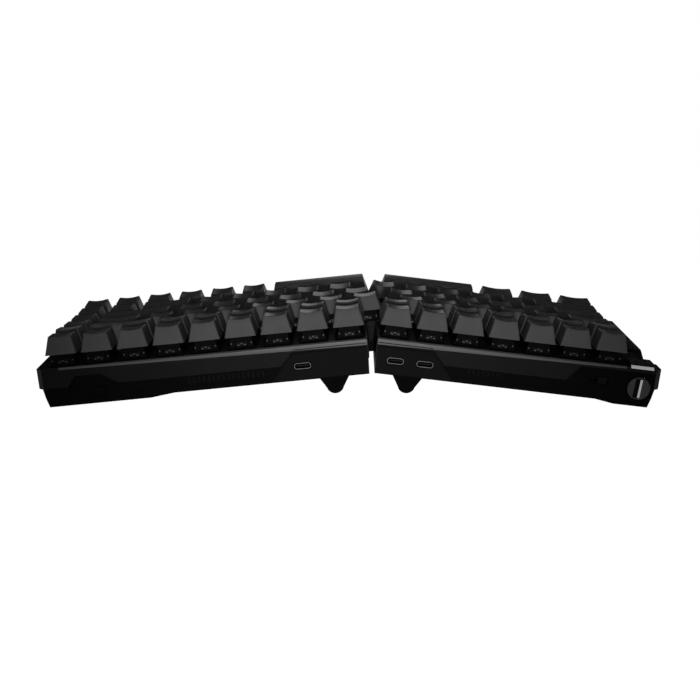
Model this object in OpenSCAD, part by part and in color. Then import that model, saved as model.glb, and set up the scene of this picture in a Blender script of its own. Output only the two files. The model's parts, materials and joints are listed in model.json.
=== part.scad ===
// Ergonomic split keyboard: two tented halves with floating keys. Millimetres.
// +X to the right hand, +Y to the rear, +Z up, desk at z = 0.

/* [Keys] */
// Pitch of one key cell
unit = 19.05; // [18.8:0.05:19.4]
// Width of a one-cell cap at its base
cap_base = 16.7; // [16.3:0.1:17.4]
// Lean of each cap side over its height
cap_draft = 2.3; // [1.9:0.1:2.5]
// Depth of the dish in a cap top
dish = 0.8; // [0.5:0.1:0.9]
// Thickness of a cap wall
cap_wall = 1.4; // [1.2:0.1:1.5]
// Chamfer of a cap's upright corners
cap_corner = 0.9; // [0.5:0.1:1.2]
// Height of the cap skirts above the case top
cap_rise = 6; // [5.8:0.1:6.4]
// Travel of a key
travel = 3.5; // [2.5:0.1:3.5]

/* [Case] */
// Height of the rear wall
rear_h = 19.4; // [19.2:0.1:21]
// Typing angle built into the case
pitch = 3; // [2.5:0.25:3]
// Height of the top case skirt
skirt_h = 10.8; // [10.4:0.1:11.2]
// Rear bezel beyond the key cells
rear_bezel = 3.8; // [3.6:0.1:5]
// Front bezel beyond the key cells
front_bezel = 3.5; // [3.2:0.1:6]
// Outer bezel of the right half
right_bezel = 3.8; // [3:0.1:8]
// Outer strip of the left half, with the roller
left_strip = 17.5; // [17:0.1:20]
// Overhang of the top case skirt at the outer end
over = 1.8; // [1.2:0.1:3]
// Lean-in of the lower case below that overhang
case_lean = 2.5; // [1:0.1:3]
// Depth of the outer skid under the case
skid_h = 1.5; // [1:0.1:2.5]
// Gap between the halves at the desk side
half_gap = 1; // [0.6:0.1:6]

/* [Feet] */
// Drop of a tenting foot below the case
foot_drop = 17.4; // [15:0.1:20]
// Radius of the foot tip
foot_tip = 4.8; // [4:0.1:5.2]
// Half-angle of the foot sides
foot_angle = 30.6; // [26:0.2:32]
// Distance of the feet from the split line
foot_x = 20.7; // [20.5:0.1:24]
// Radius of a foot pad
pad_r = 4; // [3:0.1:5]
// Height of a foot pad
pad_h = 1.2; // [1.1:0.1:1.6]

/* [Controls] */
// Radius of the control roller
roller_r = 6; // [5.5:0.1:6.2]
// Travel of the mode slider
mode_travel = 6; // [4:0.5:6]
// Travel of the corner button
button_travel = 0.8; // [0.5:0.1:0.8]

/* [Fits] */
// Clearance around sliding stems and rollers
slide_gap = 0.3; // [0.25:0.05:0.4]
// Clearance around parts that are fixed in a pocket
seat_gap = 0.1; // [0.05:0.01:0.15]

/* [Hidden] */
$fn = 48;

// Rear and front heights of the caps, row by row from the rear
row_rear = [9.7, 9.8, 8.3, 7.5, 7.3, 7.6];
row_front = [9.1, 8.6, 7.8, 7.6, 7.9, 8.8];
// Lean of a cap's rear and front faces, skin over its hollow, crown of the long bars
lean_rear = 2.4;
lean_front = 1.7;
cap_skin = 1.5;
crown = 0.8;
crown_r = 30;
// Key runs: first cell edge, row, width in cells, number of keys
l_esc = [0, 0, 1, 1];
l_function = [1, 0, 1, 6];
l_number = [0, 1, 1, 7];
l_tab = [0, 2, 1.5, 1];
l_upper = [1.5, 2, 1, 5];
l_caps = [0, 3, 1.75, 1];
l_home = [1.75, 3, 1, 5];
l_shift = [0, 4, 2.25, 1];
l_lower = [2.25, 4, 1, 5];
l_modifier = [0, 5, 1.25, 3];
l_space = [3.75, 5, 3.125, 1];
r_function = [7, 0, 1, 6];
r_system = [13, 0, 1, 3];
r_number = [7, 1, 1, 6];
r_backspace = [13, 1, 2, 1];
r_upper = [6.5, 2, 1, 7];
r_backslash = [13.5, 2, 1.5, 1];
r_home = [6.75, 3, 1, 6];
r_enter = [12.75, 3, 2.25, 1];
r_lower = [7.25, 4, 1, 5];
r_shift = [12.25, 4, 1.75, 1];
r_up = [14, 4, 1, 1];
r_space = [6.875, 5, 3.125, 1];
r_modifier = [10, 5, 1, 3];
r_arrow = [13, 5, 1, 3];
r_nav = [for (i = [1:4]) [15, i, 1, 1]];
l_keys = [l_esc, l_function, l_number, l_tab, l_upper, l_caps, l_home, l_shift, l_lower,
    l_modifier, l_space];
r_keys = concat([r_function, r_system, r_number, r_backspace, r_upper, r_backslash, r_home,
    r_enter, r_lower, r_shift, r_up, r_space, r_modifier, r_arrow], r_nav);
// Split line between the halves: cell edge, first row, last row
runs = [[7, 0, 2], [6.5, 2, 3], [6.75, 3, 4], [7.25, 4, 5], [6.875, 5, 6]];
edge = 0.25;
wall = 1.5;
ledge = 0.6;
floor_t = 2;
// Step-in of the lower case under the skirt, and the place of its middle
under = 0.8;
lower_mid = (under + floor_t) / 2;
rim_r = 1;
rear_y = rear_bezel;
front_y = -6 * unit - front_bezel;
right_x = 9 * unit + right_bezel;
left_x = 7 * unit + left_strip;
left_plate_x = 7 * unit + wall;
corner = 3;

// Levels in the deck frame, whose z = 0 is the rim of the top case
plate_top = -0.6;
plate_t = 1.5;
plate_bot = plate_top - plate_t;
housing_below = 5.2;
housing_bot = plate_top - housing_below;
housing_top = cap_rise + 0.2;
board_t = 1.6;
board_bot = housing_bot - board_t;
split_z = -skirt_h;

// Switch and stem sizes
hole = 14;
housing = hole - seat_gap;
flange = 15;
flange_t = 1;
flange_top = plate_top + flange_t;
housing_w0 = 13.2;
housing_w1 = 10.6;
stem_x = 7;
stem_y = 5.6;
lug_x = 9;
lug_bot = -1;
cavity_bot = lug_bot - travel - slide_gap;
lug_top = flange_top - 0.2;
shoulder = cap_rise + 1;
cross_l = 4;
cross_t = 1.2;
cross_h = 3.3;
post_r = 2.75;
stab_x = 4.4;
stab_y = 3.4;

// Rear-wall figures, in the deck frame of each half
port_z = -11.6;
port_w = 9;
port_h = 3.4;
port_l = 6.5;
port_face = rear_y - 0.5;
port_end = port_face - port_l;
panel_top = -4.9;
panel_bot = -16.4;
panel_low = 0.7 - rear_h;
panel_sink = 0.25;
panel_line = 1.2;
panel_bevel = 1.8;
panel_in = 3.2;
r_panel_x = 40.3;
l_panel_x = 30.4;
panel_lean = 10.35;
r_panel_end = 52;
l_panel_end = 41;
r_port_x = 35.5;
l_port_a = -11.1;
l_port_b = -26.7;
bay_a = 132.5;
bay_w = 27;
bay_b = bay_a + bay_w;
bay_top = -5.2;
bay_slope = 9;
bay_end = 4;
bay_sink = 1.3;
receiver_x = bay_a + 11;
receiver_z = -14.8;
receiver_w = 8;
receiver_h = 5;
receiver_l = 15;
mode_x = -117.3;
mode_z = -9;
mode_w = 12.4;
mode_h = 4.6;
knob_w = 5.2;
knob_h = 3.8;
knob_x = mode_x - mode_travel / 2;
riser_top = -2.6;
riser_a = -left_x + corner + 0.1;
riser_b = -108.1;
roller_x = -left_x + 10.85;
roller_z = -11.1;
roller_end = -35.6;
notch_a = -11;
notch_b = -36;
notch_x = roller_x - roller_r + 2.6;
rail_h = 1.85;
button_x = -left_x + 10.4;
trim_half = 6.2;
// Sunk band in the rear wall below the skirt
band_low = -16.4;
band_sink = 0.4;
r_band = [53.5, 128];
l_band = [43, 96];

// Feet, pads and tent in the base frame, whose z = 0 is the case bottom
hinge_z = 2.9;
rear_hinge = -30;
front_hinge = -87;
foot_len = foot_drop + hinge_z;
foot_half = 12.8;
foot_core_t = 5;
foot_wing_t = 3;
knuckle_r = 2.4;
pin_r = 1.25;
pocket_half = foot_half + 0.5;
pocket_top = 5.8;
pocket_wall = 1.2;
r_pad_x = right_x - 13.15;
l_pad_x = left_x - 13.05;
inner_pad_x = 46;
pad_rear = -9;
pad_front = -112;
pad_depth = skid_h + pad_h;
r_skid = [104, 117];
l_skid = [118, 128];
cell_h = 4.6;
cell_l = 76;
cell_w = 30;
cell_x = inner_pad_x + pad_r;
cell_y = -76;
tent_a = foot_drop - foot_tip - pad_depth;
r_span = r_pad_x + pad_r - foot_x;
l_span = l_pad_x + pad_r - foot_x;
tent_r = atan2(tent_a, r_span) + asin(foot_tip / norm([tent_a, r_span]));
tent_l = atan2(tent_a, l_span) + asin(foot_tip / norm([tent_a, l_span]));
zr = (r_pad_x + pad_r) * sin(tent_r) + pad_depth * cos(tent_r);
zl = (l_pad_x + pad_r) * sin(tent_l) + pad_depth * cos(tent_l);
// Placement that puts the origin under the middle of the whole object
r_reach = half_gap / 2 + (right_x - edge) * cos(tent_r) + rear_h * cos(pitch) * sin(tent_r);
l_reach = half_gap / 2 + (left_x - edge) * cos(tent_l) + (rear_h - 5) * sin(tent_l);
mid_x = (l_reach - r_reach) / 2;
xr = mid_x + half_gap / 2 - edge * cos(tent_r);
xl = mid_x - half_gap / 2 + edge * cos(tent_l);
back = panel_sink * cos(pitch) + (rear_h + panel_low) * sin(pitch);
y0 = ((rear_y - front_y) * cos(pitch) + rear_h * sin(pitch) + back) / 2;

function sgn(a) = a > 0 ? 1 : (a < 0 ? -1 : 0);
function split_x(k) = (runs[k][0] - 7) * unit;
function step_y(k, s, g) = -unit * runs[k][1] + s * g * sgn(split_x(k) - split_x(k - 1));
function inner_edge(s, d) = [for (k = [0:4]) each [
    [split_x(k) + s * (edge + d), k == 0 ? rear_y - d : step_y(k, s, edge + d)],
    [split_x(k) + s * (edge + d), k == 4 ? front_y + d : step_y(k + 1, s, edge + d)]]];
function outer_edge(s, d, o, c) = [
    [s * (o - d - c), front_y + d], [s * (o - d), front_y + d + c],
    [s * (o - d), rear_y - d - c], [s * (o - d - c), rear_y - d]];
function turned(p) = [for (i = [len(p) - 1:-1:0]) p[i]];
function outline(s, d, o) = let (c = max(0.4, corner - 0.586 * d),
    p = concat(inner_edge(s, d), outer_edge(s, d, o, c))) s > 0 ? p : turned(p);
function floor_z(y) = -rear_h + (rear_y - y) * tan(pitch);

module box(x0, x1, y0, y1, z0, z1) {
    translate([x0, y0, z0]) cube([x1 - x0, y1 - y0, z1 - z0]);
}

// Profile in x and z, drawn out along y
module along_y(p, y0, y1) {
    translate([0, y1, 0]) rotate([90, 0, 0]) linear_extrude(height = y1 - y0) polygon(p);
}

// Profile in y and z, drawn out along x
module along_x(p, x0, x1) {
    translate([x0, 0, 0]) rotate([90, 0, 90]) linear_extrude(height = x1 - x0) polygon(p);
}

module rod_x(r, x0, x1) {
    translate([x0, 0, 0]) rotate([0, 90, 0]) cylinder(r = r, h = x1 - x0);
}

module rod_y(r, y0, y1) {
    translate([0, y1, 0]) rotate([90, 0, 0]) cylinder(r = r, h = y1 - y0);
}

module slab(s, d, o, z0, z1) {
    translate([0, 0, z0]) linear_extrude(height = z1 - z0) polygon(outline(s, d, o));
}

// Flat-sided bar with round ends, drawn out along y
module bar_y(w, h, y0, y1) {
    box(-w / 2 + h / 2, w / 2 - h / 2, y0, y1, -h / 2, h / 2);
    for (s = [-1, 1]) translate([s * (w - h) / 2, 0, 0]) rod_y(h / 2, y0, y1);
}

module right() {
    translate([xr, y0, zr]) rotate([0, tent_r, 0]) children();
}

module left() {
    translate([xl, y0, zl]) rotate([0, -tent_l, 0]) children();
}

module half(s) {
    if (s > 0) right() children();
    else left() children();
}

// From the deck frame to the base frame of a half
module deck() {
    rotate([pitch, 0, 0]) translate([0, -rear_y, rear_h]) children();
}

// From the base frame to the deck frame of a half
module base() {
    translate([0, rear_y, -rear_h]) rotate([-pitch, 0, 0]) children();
}

module at_keys(list) {
    for (e = list, i = [0:e[3] - 1])
        translate([(e[0] + e[2] * (i + 0.5) - 7) * unit, -(e[1] + 0.5) * unit, 0]) {
            $w = e[2];
            $row = e[1];
            children();
        }
}

function stab_at(w) = w < 2 ? 0 : (w < 3 ? 11.9 : 20);

// Four leaning sides of a cap or of its hollow
module leaning(w, d, c, kx, kr, kf, top) {
    q = (w + d) / 2 / sqrt(2) - c;
    kq = (kx + (kr + kf) / 2) / sqrt(2);
    intersection() {
        along_y([[-w / 2, 0], [w / 2, 0], [w / 2 - kx * top, top], [-w / 2 + kx * top, top]],
            -d, d);
        along_x([[-d / 2, 0], [d / 2, 0], [d / 2 - kr * top, top], [-d / 2 + kf * top, top]],
            -w, w);
        if (c > 0) rotate([0, 0, 45])
            along_y([[-q, 0], [q, 0], [q - kq * top, top], [-q + kq * top, top]], -w, w);
        if (c > 0) rotate([0, 0, -45])
            along_y([[-q, 0], [q, 0], [q - kq * top, top], [-q + kq * top, top]], -w, w);
    }
}

module post(h) {
    difference() {
        translate([0, 0, shoulder - cap_rise + seat_gap])
            cylinder(r = post_r, h = h - shoulder + cap_rise - seat_gap);
        box(-cross_l / 2 - seat_gap, cross_l / 2 + seat_gap,
            -cross_t / 2 - seat_gap, cross_t / 2 + seat_gap, 0, shoulder - cap_rise + cross_h + 0.2);
        box(-cross_t / 2 - seat_gap, cross_t / 2 + seat_gap,
            -cross_l / 2 - seat_gap, cross_l / 2 + seat_gap, 0, shoulder - cap_rise + cross_h + 0.2);
    }
}

// Dished cap, or a crowned one for the long bars
module cap(w, row) {
    hr = row_rear[row];
    hf = row_front[row];
    bw = w * unit - (unit - cap_base);
    kx = cap_draft / hr;
    kr = lean_rear / hr;
    kf = lean_front / hf;
    top = max(hr, hf) + 1;
    roof = min(hr, hf) - dish - cap_skin;
    tw = bw / 2 - cap_draft;
    mid_y = (lean_front - lean_rear) / 2;
    mid_h = (hr + hf) / 2;
    slope = atan2(hr - hf, cap_base - lean_rear - lean_front);
    dish_r = (tw * tw + dish * dish) / (2 * dish);
    difference() {
        intersection() {
            leaning(bw, cap_base, cap_corner, kx, kr, kf, top);
            if (w >= 3) translate([0, mid_y, mid_h + crown - crown_r])
                rod_x(crown_r, -bw, bw, $fn = 360);
        }
        if (w < 3) translate([0, mid_y, mid_h]) rotate([slope, 0, 0]) {
            translate([0, 0, dish_r - dish]) rod_y(dish_r, -20, 20, $fn = 360);
            box(-bw, bw, -20, 20, 0, 20);
        }
        leaning(bw - 2 * cap_wall, cap_base - 2 * cap_wall, 0, kx, kr, kf, roof);
    }
    post(roof + 0.3);
    if (w >= 2) for (s = [-1, 1]) translate([s * stab_at(w), 0, 0]) post(roof + 0.3);
}

module stem_cross() {
    box(-cross_l / 2, cross_l / 2, -cross_t / 2, cross_t / 2, shoulder - 0.1, shoulder + cross_h);
    box(-cross_t / 2, cross_t / 2, -cross_l / 2, cross_l / 2, shoulder - 0.1, shoulder + cross_h);
}

module stem() {
    box(-stem_x / 2, stem_x / 2, -stem_y / 2, stem_y / 2, lug_bot, shoulder);
    box(-lug_x / 2, lug_x / 2, -stem_y / 2, stem_y / 2, lug_bot, lug_top);
    stem_cross();
}

module stab_stem() {
    box(-stab_x / 2, stab_x / 2, -stab_y / 2, stab_y / 2, lug_bot, shoulder);
    stem_cross();
}

module key(w, row) {
    translate([0, 0, cap_rise]) cap(w, row);
    stem();
    if (w >= 2) for (s = [-1, 1]) translate([s * stab_at(w), 0, 0]) stab_stem();
}

module keys(s, list) {
    half(s) deck() at_keys(list) key($w, $row);
}

module switch_body() {
    up = housing_top - flange_top;
    k = (housing_w0 - housing_w1) / 2 / up;
    difference() {
        union() {
            box(-housing / 2, housing / 2, -housing / 2, housing / 2, housing_bot, plate_top);
            box(-flange / 2, flange / 2, -flange / 2, flange / 2, plate_top, flange_top);
            translate([0, 0, flange_top]) leaning(housing_w0, housing_w0, 0, k, k, k, up);
        }
        box(-stem_x / 2 - slide_gap, stem_x / 2 + slide_gap, -stem_y / 2 - slide_gap,
            stem_y / 2 + slide_gap, cavity_bot, housing_top + 1);
        box(-lug_x / 2 - slide_gap, lug_x / 2 + slide_gap, -stem_y / 2 - slide_gap,
            stem_y / 2 + slide_gap, cavity_bot, flange_top);
        box(-2.8, 2.8, housing_w0 / 2 - 1.7, 9, flange_top, flange_top + 2.6);
    }
}

module stab_body(at) {
    for (s = [-1, 1]) translate([s * at, 0, 0]) difference() {
        box(-3.5, 3.5, -5.5, 5.5, housing_bot + 0.2, 1.4);
        box(-stab_x / 2 - slide_gap, stab_x / 2 + slide_gap, -stab_y / 2 - slide_gap,
            stab_y / 2 + slide_gap, cavity_bot, 2);
    }
    translate([0, -8.4, 0.2]) rod_x(0.7, -at - 2, at + 2);
    for (s = [-1, 1]) box(s * at - 1.5, s * at + 1.5, -8.4, -5, -0.4, 0.8);
}

module stabilisers(s, list) {
    half(s) deck() at_keys(list) if ($w >= 2) stab_body(stab_at($w));
}

// Screw places: distance from the split, row gap, 1 where the outer skid lies under them
function screw_at(s) = s > 0
    ? [[60, 1, 0], [98, 1, 0], [152, 1, 1], [14, 5, 0], [98, 5, 0], [152, 5, 1]]
    : [[-48, 1, 0], [-84, 1, 0], [-112, 1, 0], [-14, 5, 0], [-78, 5, 0], [-112, 5, 0]];
screw_r = 1.2;
boss_r = 2.15;
head_r = 2.2;
head_h = 1.3;

module at_screws(s) {
    for (p = screw_at(s)) translate([p[0], -unit * p[1], 0]) {
        $z = floor_z(-unit * p[1]) - p[2] * skid_h;
        children();
    }
}

module switch_plate(s, list, o) {
    half(s) deck() difference() {
        slab(s, wall + seat_gap, o, plate_bot, plate_top);
        at_keys(list) box(-hole / 2, hole / 2, -hole / 2, hole / 2, plate_bot - 1, plate_top + 1);
        at_keys(list) if ($w >= 2) for (t = [-1, 1]) translate([t * stab_at($w), 0, 0])
            box(-3.5 - seat_gap, 3.5 + seat_gap, -5.5 - seat_gap, 5.5 + seat_gap,
                plate_bot - 1, plate_top + 1);
        at_screws(s) translate([0, 0, plate_bot - 1]) cylinder(r = screw_r + seat_gap, h = plate_t + 2);
    }
}

module circuit_board(s, o) {
    half(s) deck() difference() {
        union() {
            slab(s, wall + ledge + 0.4, o, board_bot, housing_bot);
            box(s * 62 - 5, s * 62 + 5, -62, -52, board_bot - 1, board_bot + 0.2);
            box(s * 80 - 3, s * 80 + 3, -60, -54, board_bot - 0.9, board_bot + 0.2);
        }
        at_screws(s) translate([0, 0, board_bot - 2]) cylinder(r = boss_r + slide_gap, h = 6);
        if (s < 0) {
            box(mode_x - 7.6, mode_x + 7.6, rear_y - 6.4, rear_y, board_bot - 1, 0);
            box(roller_x - 9, roller_x + roller_r + 0.5, notch_b - 2, rear_y, board_bot - 1, 0);
            box(-l_panel_x - 9, 0, rear_y - 3.7, rear_y, board_bot - 1, 0);
        }
        else box(0, r_panel_x + 9, rear_y - 3.7, rear_y, board_bot - 1, 0);
    }
}

module case_screws(s) {
    half(s) deck() at_screws(s) {
        translate([0, 0, $z + 0.15]) cylinder(r = head_r, h = head_h);
        translate([0, 0, $z + 0.2]) cylinder(r = screw_r, h = plate_top - 0.2 - $z - 0.2);
    }
}

// Foot pocket in the base frame, g larger all round, open to the desk
module foot_pocket(hinge, dir, g, z0) {
    a = hinge + dir * (foot_len + 0.8 + g);
    b = hinge - dir * (foot_core_t / 2 + slide_gap + g);
    translate([foot_x, 0, 0])
        box(-pocket_half - g, pocket_half + g, min(a, b), max(a, b), z0, pocket_top + g);
}

module in_half(s) {
    if (s > 0) children();
    else mirror([1, 0, 0]) children();
}

// Body of the lower case, drawn in by d at its sides and lifted by f from its underside
module lower_body(s, d, f, z1) {
    o = s > 0 ? right_x : left_x;
    skid = s > 0 ? r_skid : l_skid;
    end = o - over + under - d;
    intersection() {
        slab(s, d, o, -rear_h - 10, z1);
        base() in_half(s) along_y([[-30, f], [skid[0], f], [skid[1], f - skid_h], [o + 9, f - skid_h],
            [o + 9, 60], [-30, 60]], -150, 30);
        in_half(s) along_y([[-30, -40], [end - case_lean * (split_z + 40) / (rear_h - skirt_h), -40],
            [end, split_z], [end, 30], [-30, 30]], front_y - 9, rear_y + 9);
    }
}

module foot_pockets(s, g, z0) {
    base() in_half(s) {
        foot_pocket(rear_hinge, 1, g, z0);
        foot_pocket(front_hinge, 1, g, z0);
    }
}

// Walls of the foot pockets, clear of the top case where they stand above the split
module foot_wells(s) {
    intersection() {
        foot_pockets(s, pocket_wall, 0.5);
        union() {
            lower_body(s, lower_mid, 0.5, split_z);
            slab(s, wall + ledge + slide_gap, right_x, split_z - 0.1, 0);
        }
    }
}

module pin_holes(s, r, l) {
    base() in_half(s) for (h = [rear_hinge, front_hinge])
        translate([foot_x, h, hinge_z]) rod_x(r, -l, l);
}

module bosses(s) {
    at_screws(s) translate([0, 0, $z + 1]) cylinder(r = boss_r, h = plate_bot - $z - 1);
}

module screw_holes(s) {
    at_screws(s) {
        translate([0, 0, $z - 3]) cylinder(r = screw_r + seat_gap, h = 30);
        translate([0, 0, $z - 3]) cylinder(r = head_r + seat_gap, h = 3 + 0.15 + head_h + 0.1);
    }
}

// Port panel outline, seen from the rear, grown by g
function panel(s, x, g) = let (k = panel_lean / (panel_top - panel_bot),
    p = [[panel_in - g, panel_top + g], [x + g - k * g, panel_top + g],
        [x + panel_lean + g + k * g, panel_bot - g], [panel_in - g, panel_bot - g]])
    [for (q = p) [s * q[0], q[1]]];

// Outline of the cover plate over both case walls, from the split to the slanted end
function cover(s, x, e, g) = let (k = panel_lean / (panel_top - panel_bot),
    p = [[edge + under - g, panel_top + g], [x + g - k * g, panel_top + g],
        [e + g, panel_top - (e - x) / k], [e + g, panel_low - g], [edge + under - g, panel_low - g]])
    [for (q = p) [s * q[0], q[1]]];

module port_panel(s, x, e, ports) {
    lean = atan2(panel_lean, panel_top - panel_bot);
    face = rear_y - panel_sink;
    half(s) deck() difference() {
        union() {
            along_y(panel(s, x, 0), rear_y - wall - 0.9, face);
            along_y(panel(s, x, 0.7), rear_y - wall - ledge - 1.2, rear_y - wall - ledge);
            along_y(cover(s, x, e, 0), rear_y - under + 0.05, face);
        }
        in_half(s) translate([x - panel_bevel, face, panel_top]) rotate([0, -lean, 0])
            rotate([0, 0, -12]) box(0, 9, 0, 5, -30, 9);
        for (p = ports) translate([p, 0, port_z])
            bar_y(port_w + 2 * slide_gap, port_h + 2 * slide_gap, rear_y - 9, rear_y + 1);
    }
}

module socket() {
    difference() {
        bar_y(port_w, port_h, port_end, port_face);
        bar_y(port_w - 0.8, port_h - 0.8, port_end + 0.8, rear_y + 1);
    }
    box(-3.3, 3.3, port_end + 0.6, port_face - 1.1, -0.35, 0.35);
}

module sockets(s, ports) {
    half(s) deck() {
        for (p = ports) translate([p, 0, port_z]) socket();
        box(min(ports) - 7, max(ports) + 7, port_end, rear_y - 4,
            port_z - port_h / 2 - 1.2, port_z - port_h / 2 + 0.1);
    }
}

// Posts that carry the socket board
module socket_posts(ports) {
    for (x = [min(ports) - 5.5, max(ports) + 5.5])
        box(x - 1.2, x + 1.2, port_end, rear_y - 4.4, floor_z(0) + 1, port_z - port_h / 2 - 1.2);
}

function bay(g) = [[bay_a - g, split_z - 0.2], [bay_b + g, split_z - 0.2],
    [bay_b - bay_end + g, bay_top + g], [bay_a + bay_slope - g, bay_top + g]];

function riser(g) = [[riser_a - g, split_z - 0.2], [riser_b + 7.2 + g, split_z - 0.2],
    [riser_b + g, riser_top + g], [riser_a - g, riser_top + g]];

module rear_band(x0, x1) {
    box(x0, x1, rear_y - under - band_sink, rear_y + 1, band_low, split_z + 1);
}

module rear_ribs(x0, n, z, h) {
    for (i = [0:n - 1])
        box(x0 + i * 2.6, x0 + i * 2.6 + 1, rear_y - under - band_sink - 0.3, rear_y - under, z, z + h);
}

module right_bottom_case() {
    color([0.09, 0.09, 0.1]) right() deck() difference() {
        union() {
            difference() {
                lower_body(1, under, 0, split_z);
                lower_body(1, floor_t, floor_t, 10);
                rear_band(r_band[0], r_band[1]);
            }
            along_y(bay(0), rear_y - wall - ledge, rear_y - bay_sink);
            bosses(1);
            socket_posts([r_port_x]);
            foot_wells(1);
            box(receiver_x - receiver_w / 2 - 1.6, receiver_x + receiver_w / 2 + 1.6,
                rear_y - receiver_l - 3, rear_y - 1, floor_z(0) + 1, receiver_z + receiver_h / 2 + 1.4);
            rear_ribs(56, 16, -15.2, 3.4);
        }
        foot_pockets(1, 0, -9);
        pin_holes(1, pin_r + seat_gap, pocket_half + pocket_wall + 1);
        screw_holes(1);
        along_y(panel(1, r_panel_x, seat_gap), rear_y - wall - ledge, rear_y + 1);
        translate([receiver_x, 0, receiver_z])
            bar_y(receiver_w + 2 * slide_gap, receiver_h + 2 * slide_gap,
                rear_y - receiver_l - 1.4, rear_y + 1);
        box(receiver_x - receiver_w / 2 - 2, receiver_x + receiver_w / 2 + 2, rear_y - bay_sink, rear_y + 1,
            receiver_z - receiver_h / 2 - 0.8, split_z + 1);
    }
}

// Rounded top edge of a top case along its rear and front sides
module rim_rounding() {
    for (m = [[rear_y, 1], [front_y, -1]]) difference() {
        translate([0, m[0], 0]) box(-200, 200, -rim_r, rim_r, -rim_r, rim_r);
        translate([0, m[0] - m[1] * rim_r, -rim_r]) rod_x(rim_r, -210, 210);
        translate([0, m[0] - m[1] * (rim_r + 5), 0]) box(-210, 210, -5, 5, -rim_r - 1, rim_r + 1);
    }
}

module right_top_case() {
    color([0.12, 0.12, 0.13]) right() deck() difference() {
        slab(1, 0, right_x, split_z, 0);
        slab(1, wall, right_x, plate_bot, 1);
        slab(1, wall + ledge, right_x, split_z - 1, plate_bot + 0.5);
        along_y(bay(seat_gap), rear_y - wall - ledge - 1, rear_y + 1);
        along_y(panel(1, r_panel_x, seat_gap), rear_y - wall - ledge - 1, rear_y + 1);
        along_y(cover(1, r_panel_x, r_panel_end, panel_line), rear_y - under, rear_y + 1);
        rim_rounding();
    }
}

module right_switch_plate() {
    color([0.16, 0.16, 0.17]) switch_plate(1, r_keys, right_x);
}

module right_circuit_board() {
    color([0.05, 0.2, 0.12]) circuit_board(1, right_x);
}

module right_switches() {
    color([0.2, 0.2, 0.21]) right() deck() at_keys(r_keys) switch_body();
}

module right_stabilisers() {
    color([0.2, 0.2, 0.21]) stabilisers(1, r_keys);
}

module right_port_panel() {
    color([0.08, 0.08, 0.09]) port_panel(1, r_panel_x, r_panel_end, [r_port_x]);
}

module right_usb_socket() {
    color([0.75, 0.75, 0.77]) sockets(1, [r_port_x]);
}

module battery(s, l, w) {
    color([0.3, 0.35, 0.4]) half(s) in_half(s)
        box(cell_x, cell_x + l, cell_y, cell_y + w, floor_t, floor_t + cell_h);
}

module right_battery() {
    battery(1, cell_l + unit, cell_w + 6);
}

module foot_pads(s, px) {
    half(s) in_half(s) {
        for (y = [pad_rear, pad_front]) {
            translate([px, y, -pad_depth]) cylinder(r = pad_r, h = pad_h);
            translate([inner_pad_x, y, -pad_h]) cylinder(r = pad_r, h = pad_h);
        }
    }
}

module right_foot_pads() {
    color([0.05, 0.05, 0.05]) foot_pads(1, r_pad_x);
}

module right_case_screws() {
    color([0.6, 0.6, 0.62]) case_screws(1);
}

module foot_pins(s) {
    half(s) in_half(s) for (h = [rear_hinge, front_hinge])
        translate([foot_x, h, hinge_z])
            rod_x(pin_r, -pocket_half - 2 * seat_gap, pocket_half + pocket_wall);
}

module right_foot_pins() {
    color([0.6, 0.6, 0.62]) foot_pins(1);
}

// Tenting foot in its own frame: hinge on the x axis, tip straight down
module foot() {
    cz = foot_tip - foot_len;
    tx = foot_tip * cos(foot_angle);
    tz = cz - foot_tip * sin(foot_angle);
    sz = min(-0.5, tz + (foot_half - tx) / tan(foot_angle));
    difference() {
        union() {
            along_y([[-foot_half, 0], [-foot_half, sz], [-tx, tz], [tx, tz], [foot_half, sz],
                [foot_half, 0]], -foot_wing_t / 2, foot_wing_t / 2);
            box(-foot_tip, foot_tip, -foot_core_t / 2, foot_core_t / 2, cz, 0);
            translate([0, 0, cz]) rod_y(foot_tip, -foot_core_t / 2, foot_core_t / 2);
            rod_x(knuckle_r, -foot_half, foot_half);
        }
        rod_x(pin_r + slide_gap, -foot_half - 1, foot_half + 1);
    }
}

module right_rear_foot() {
    color([0.1, 0.1, 0.11]) right() translate([foot_x, rear_hinge, hinge_z]) foot();
}

module right_front_foot() {
    color([0.1, 0.1, 0.11]) right() translate([foot_x, front_hinge, hinge_z]) foot();
}

module receiver() {
    color([0.13, 0.13, 0.14]) right() deck() translate([receiver_x, 0, receiver_z])
        bar_y(receiver_w, receiver_h, rear_y - 1 - receiver_l, rear_y - 1);
}

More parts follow.
